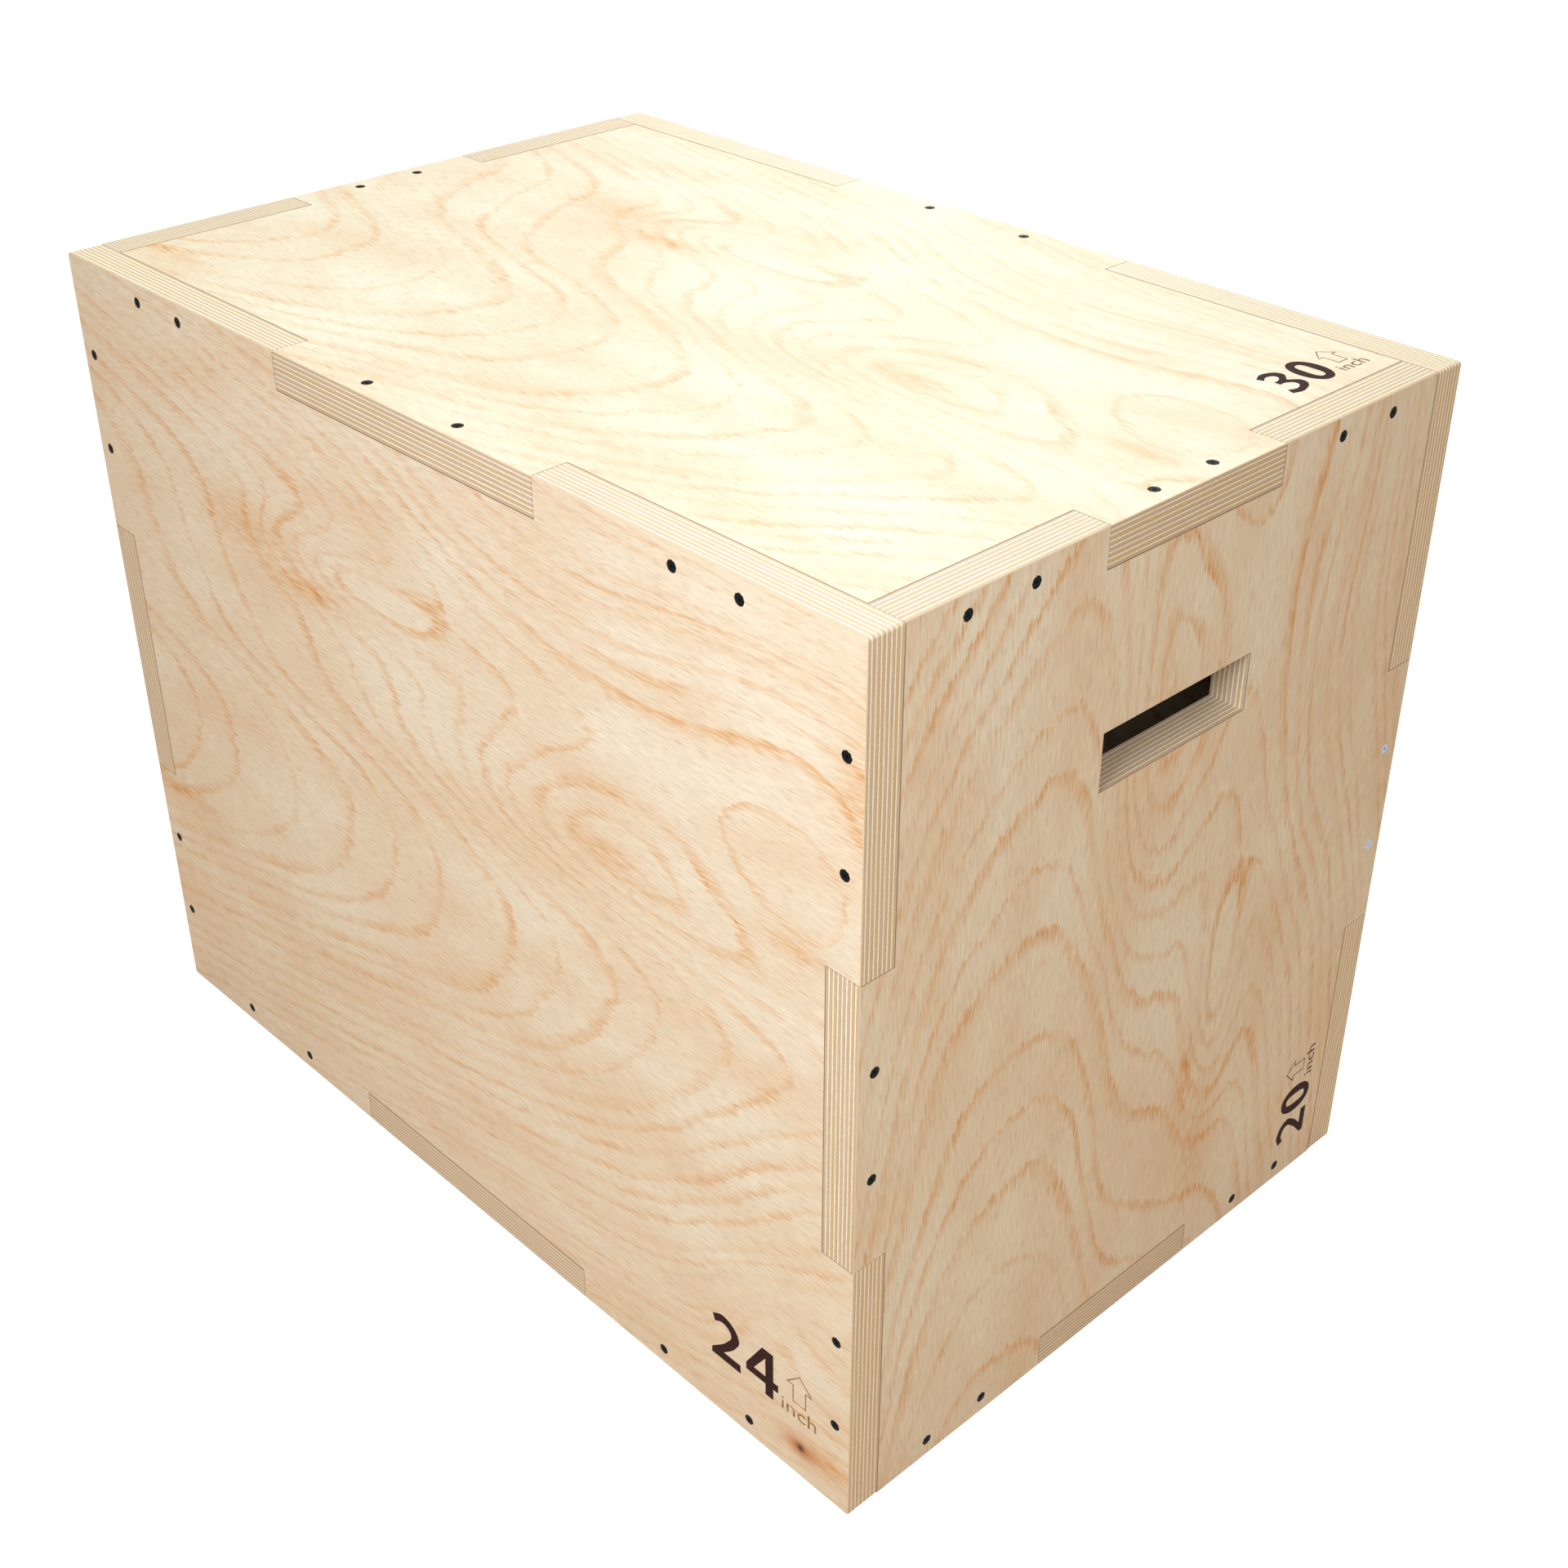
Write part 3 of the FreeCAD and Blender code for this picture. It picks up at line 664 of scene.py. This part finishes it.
# Outlines of the digits, as corners and as points that a round stretch runs through
DIGITS_MM = {
    "0": [
        [("round", 0, 19.3), ("round", 13.7, 39), ("round", 27.4, 19.3), ("round", 13.7, -0.4)],
        [("round", 8.7, 19.3), ("round", 13.7, 6.6), ("round", 18.7, 19.3), ("round", 13.7, 32)],
    ],
    "2": [
        [("corner", 0, 0), ("corner", 26.7, 0), ("corner", 26.7, 6.9), ("corner", 11.3, 6.9),
         ("round", 22.2, 18.4), ("round", 25.5, 28), ("round", 12.6, 39), ("corner", 1.4, 35.4),
         ("corner", 3.4, 29.6), ("round", 11.4, 32.4), ("round", 18.3, 27), ("round", 14.4, 18.6),
         ("corner", 0, 4.6)],
    ],
    "3": [
        [("corner", 1.8, 35.7), ("round", 13.2, 39), ("round", 25.2, 29.8), ("corner", 18.6, 20.4),
         ("round", 26.4, 10.8), ("round", 12, -0.4), ("corner", 0, 1.7), ("corner", 2, 8),
         ("round", 11.5, 5.6), ("round", 18.2, 11.4), ("round", 12.5, 17.3), ("corner", 6.8, 17.7),
         ("corner", 6.8, 23.1), ("round", 12.5, 23.6), ("round", 17.4, 28.6), ("round", 11.6, 33.1),
         ("corner", 3.8, 30.2)],
    ],
    "4": [
        [("corner", 17.5, 0), ("corner", 24.6, 0), ("corner", 24.6, 9.2), ("corner", 29, 9.2),
         ("corner", 29, 15.5), ("corner", 24.6, 15.5), ("corner", 24.6, DIGIT_HEIGHT_MM),
         ("corner", 14.6, DIGIT_HEIGHT_MM), ("corner", 0, 15), ("corner", 0, 9.2), ("corner", 17.5, 9.2)],
        [("corner", 7, 15.5), ("corner", 17.5, 31), ("corner", 17.5, 15.5)],
    ],
}
UNIT_LEFT_MM = 64
UNIT_RIGHT_MM = 94.6
UNIT_HEIGHT_MM = 11
ARROW_MIDDLE_MM = 79.7
ARROW_FOOT_MM = 13.2
ARROW_NECK_MM = 27.2
ARROW_HALF_HEAD_MM = 11.7
ARROW_HALF_SHAFT_MM = 5.9
ARROW_LINE_MM = 0.9
INK_STREAK_MM = 2.5
INK_STREAK_SPAN = (0.5, 0.9)
INK_ROUGHNESS = 0.8
INK_GLOSS = 0.15
INK_BROWN = "#2B0F0B"
INK_WORN = "#48231B"
# Digits, lower left corner, the way they read, the way the arrow points, size, thin ink of arrow and unit
MARKS = {
    "front_size_mark": ("24", (LOW_MM[0] + 639, LOW_MM[1], 48.6), (1, 0, 0), (0, 0, 1), 1.0, "#97754F"),
    "top_size_mark": ("30", (342, 139, HIGH_MM[2]), (0, 1, 0), (-1, 0, 0), 0.81, "#7A5A46"),
    "side_size_mark": ("20", (HIGH_MM[0], 214.5, 29.6), (0, 0, 1), (0, -1, 0), 0.85, "#2E1B13"),
}


def brown_ink(name, plain, worn):
    """Ink on sealed wood: matt, a little paler in streaks where the grain took less of it."""
    material = empty_material(name)
    tree = material.node_tree
    coordinates = add_node(tree, "ShaderNodeTexCoord")
    streak = add_node(tree, "ShaderNodeTexNoise",
                      {"Vector": coordinates.outputs["Object"], "Scale": 1 / (INK_STREAK_MM * MM),
                       "Detail": 3})
    thin = add_node(tree, "ShaderNodeMapRange",
                    {"Value": streak, "From Min": INK_STREAK_SPAN[0], "From Max": INK_STREAK_SPAN[1]})
    colour = add_node(tree, "ShaderNodeMix",
                      {"Factor": thin, "A": linear(plain), "B": linear(worn)}, data_type="RGBA")
    finish_material(material, {"Base Color": colour, "Roughness": INK_ROUGHNESS,
                               "Specular IOR Level": INK_GLOSS})
    return material


def inked_digit(outlines, left_mm):
    """One digit: its outlines filled as a flat curve, made a mesh."""
    bpy.ops.object.select_all(action="DESELECT")
    bpy.ops.curve.primitive_bezier_circle_add()
    curve = bpy.context.object.data
    curve.splines.clear()
    curve.dimensions = "2D"
    curve.fill_mode = "BOTH"
    curve.extrude = INK_MM * MM
    for outline in outlines:
        spline = curve.splines.new("BEZIER")
        spline.bezier_points.add(len(outline) - 1)
        spline.use_cyclic_u = True
        for point, (_, x, y) in zip(spline.bezier_points, outline):
            point.co = Vector((x + left_mm, y, 0)) * MM
        for point, (kind, _, _) in zip(spline.bezier_points, outline):
            handle = "VECTOR" if kind == "corner" else "AUTO"
            point.handle_left_type = point.handle_right_type = handle
    bpy.ops.object.convert(target="MESH")
    return bpy.context.object


def inked_unit():
    """The unit in plain thin letters, made a mesh and stretched to its box."""
    bpy.ops.object.select_all(action="DESELECT")
    bpy.ops.object.text_add()
    letters = bpy.context.object.data
    letters.body = "inch"
    # One unit thick, which the stretch brings to the thickness of the ink
    letters.extrude = 0.5
    bpy.ops.object.convert(target="MESH")
    unit = bpy.context.object
    low = Vector(min(v.co[axis] for v in unit.data.vertices) for axis in range(3))
    high = Vector(max(v.co[axis] for v in unit.data.vertices) for axis in range(3))
    wide = (UNIT_RIGHT_MM - UNIT_LEFT_MM) * MM / (high.x - low.x)
    tall = UNIT_HEIGHT_MM * MM / (high.y - low.y)
    to_corner = Matrix.Translation((-low.x, -low.y, 0))
    stretch = Matrix.Diagonal((wide, tall, 2 * INK_MM * MM, 1))
    unit.data.transform(Matrix.Translation((UNIT_LEFT_MM * MM, 0, 0)) @ stretch @ to_corner)
    return unit


def outlined_arrow():
    """An arrow drawn as a thin outline: seven points, set in by the width of the line."""
    bpy.ops.object.select_all(action="DESELECT")
    bpy.ops.mesh.primitive_circle_add(vertices=7, radius=1, fill_type="NGON")
    arrow = bpy.context.object
    half_head, half_shaft = ARROW_HALF_HEAD_MM, ARROW_HALF_SHAFT_MM
    outline = [
        (0, DIGIT_HEIGHT_MM), (-half_head, ARROW_NECK_MM), (-half_shaft, ARROW_NECK_MM),
        (-half_shaft, ARROW_FOOT_MM), (half_shaft, ARROW_FOOT_MM), (half_shaft, ARROW_NECK_MM),
        (half_head, ARROW_NECK_MM),
    ]
    for vertex, (out, up) in zip(arrow.data.vertices, outline):
        vertex.co = Vector((ARROW_MIDDLE_MM + out, up, -INK_MM)) * MM
    bpy.ops.object.mode_set(mode="EDIT")
    bpy.ops.mesh.select_all(action="SELECT")
    bpy.ops.mesh.inset(thickness=ARROW_LINE_MM * MM)
    bpy.ops.mesh.delete(type="FACE")
    bpy.ops.mesh.select_all(action="SELECT")
    bpy.ops.mesh.extrude_region_move(TRANSFORM_OT_translate={"value": (0, 0, 2 * INK_MM * MM)})
    bpy.ops.mesh.select_all(action="SELECT")
    bpy.ops.mesh.normals_make_consistent(inside=False)
    bpy.ops.object.mode_set(mode="OBJECT")
    return arrow


digit_ink = brown_ink("brown_ink", INK_BROWN, INK_WORN)
for name, (digits, corner, reads, points, size, thin_code) in MARKS.items():
    thin_ink = brown_ink(f"thin_brown_ink_{name}", thin_code, PEACH)
    strokes = []
    for i, digit in enumerate(digits):
        strokes.append((inked_digit(DIGITS_MM[digit], SECOND_DIGIT_MM * i), digit_ink))
    strokes += [(inked_unit(), thin_ink), (outlined_arrow(), thin_ink)]
    bpy.ops.object.select_all(action="DESELECT")
    for stroke, ink in strokes:
        stroke.data.materials.clear()
        stroke.data.materials.append(ink)
        stroke.select_set(True)
    bpy.context.view_layer.objects.active = strokes[0][0]
    bpy.ops.object.join()
    bpy.ops.object.mode_set(mode="EDIT")
    bpy.ops.mesh.select_all(action="SELECT")
    bpy.ops.mesh.remove_doubles(threshold=WELD_MM * MM)
    bpy.ops.mesh.normals_make_consistent(inside=False)
    bpy.ops.object.mode_set(mode="OBJECT")
    mark = bpy.context.object
    mark.name = name
    reads, points = Vector(reads), Vector(points)
    turn = Matrix((reads, points, reads.cross(points))).transposed().to_4x4()
    place = Matrix.Translation(Vector(corner) * MM)
    mark.data.transform(place @ turn @ Matrix.Diagonal((size, size, 1, 1)))
    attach(mark, "root")

# Studio
# A pale floor that runs into a white surround, where the box keeps a faint shadow.
# A soft lamp stands by the front corner, one by the right side, one overhead and one behind.
FLOOR_WIDTH = 30
FLOOR_GAP_MM = 0.5
# The camera sees the floor's own white and, on top of it, the light that the box's shadow takes away.
# The box gets warmer light back from it.
FLOOR_GLOW = "#F0F4F9"
FLOOR_SEEN = "#A4A3A2"
FLOOR_WARM = "#CFBA9B"
SURROUND_FILL = "#FFDBB3"
SURROUND_STRENGTH = 0.36
WHITE = "#FFFFFF"
# Place, aim, width, colour and power of each lamp
LAMPS = {
    "front_lamp": ((0.6, -1.25, 1.15), (0.1, -0.2, 0.35), 0.5, "#ECF6FF", 11.3),
    "side_lamp": ((1.4, -1.1, 1.6), (0.3, 0.0, 0.4), 0.6, "#EDFBFF", 13.8),
    "top_lamp": ((-0.15, 0.15, 2.6), (-0.1, 0.05, 0.6), 1.2, "#C8E6E5", 27),
    "back_lamp": ((-1.2, 1.6, 1.5), (0.0, 0.1, 0.3), 0.9, "#FFFFFF", 20),
}


def seen_directly(tree):
    """1 for rays from the camera and for those that gloss or glass sends on, 0 for the light itself."""
    rays = add_node(tree, "ShaderNodeLightPath")
    seen = rays.outputs["Is Camera Ray"]
    for other in ("Is Glossy Ray", "Is Transmission Ray"):
        seen = add_node(tree, "ShaderNodeMath", {0: seen, 1: rays.outputs[other]}, operation="MAXIMUM")
    return seen


bpy.ops.object.select_all(action="DESELECT")
bpy.ops.mesh.primitive_plane_add(size=FLOOR_WIDTH, location=(0, 0, -FLOOR_GAP_MM * MM))
floor = bpy.context.object
floor.name = "studio_floor"
pale_floor = empty_material("pale_studio_floor")
tree = pale_floor.node_tree
matt = add_node(tree, "ShaderNodeBsdfDiffuse", {"Color": linear(FLOOR_WARM)})
shadowed = add_node(tree, "ShaderNodeBsdfDiffuse", {"Color": linear(FLOOR_SEEN)})
glow = add_node(tree, "ShaderNodeEmission", {"Color": linear(FLOOR_GLOW), "Strength": 1})
lit = add_node(tree, "ShaderNodeAddShader", {0: shadowed, 1: glow})
pale = add_node(tree, "ShaderNodeMixShader", {0: seen_directly(tree), 1: matt, 2: lit})
add_node(tree, "ShaderNodeOutputMaterial", {"Surface": pale})
floor.data.materials.append(pale_floor)

world = bpy.data.worlds.new("white_surround")
bpy.context.scene.world = world
world.use_nodes = True
tree = world.node_tree
tree.nodes.clear()
fill = add_node(tree, "ShaderNodeBackground",
                {"Color": linear(SURROUND_FILL), "Strength": SURROUND_STRENGTH})
white = add_node(tree, "ShaderNodeBackground", {"Color": linear(WHITE), "Strength": 1})
surround = add_node(tree, "ShaderNodeMixShader", {0: seen_directly(tree), 1: fill, 2: white})
add_node(tree, "ShaderNodeOutputWorld", {"Surface": surround})

for name, (place, aim, size, colour, watts) in LAMPS.items():
    light = bpy.data.lights.new(name, "AREA")
    light.size = size
    light.energy = watts
    light.color = linear(colour)[:3]
    lamp = bpy.data.objects.new(name, light)
    bpy.context.scene.collection.objects.link(lamp)
    lamp.location = place
    lamp.rotation_euler = (Vector(aim) - Vector(place)).to_track_quat("-Z", "Y").to_euler()

# Camera
# Stands by the front right corner, above the box, and looks down on it, as the photograph does.
EYE = Vector((1.00113, -0.89855, 1.09196))
AIM = Vector((0.0463, 0.01057, 0.26306))
LENS_MM = 50.08
SENSOR_MM = 36
view = bpy.data.cameras.new("camera")
view.lens = LENS_MM
view.sensor_width = SENSOR_MM
view.clip_start = 0.01
camera = bpy.data.objects.new("camera", view)
bpy.context.scene.collection.objects.link(camera)
camera.location = EYE
camera.rotation_euler = (AIM - EYE).to_track_quat("-Z", "Y").to_euler()
bpy.context.scene.camera = camera
bpy.context.scene.view_settings.view_transform = "Standard"
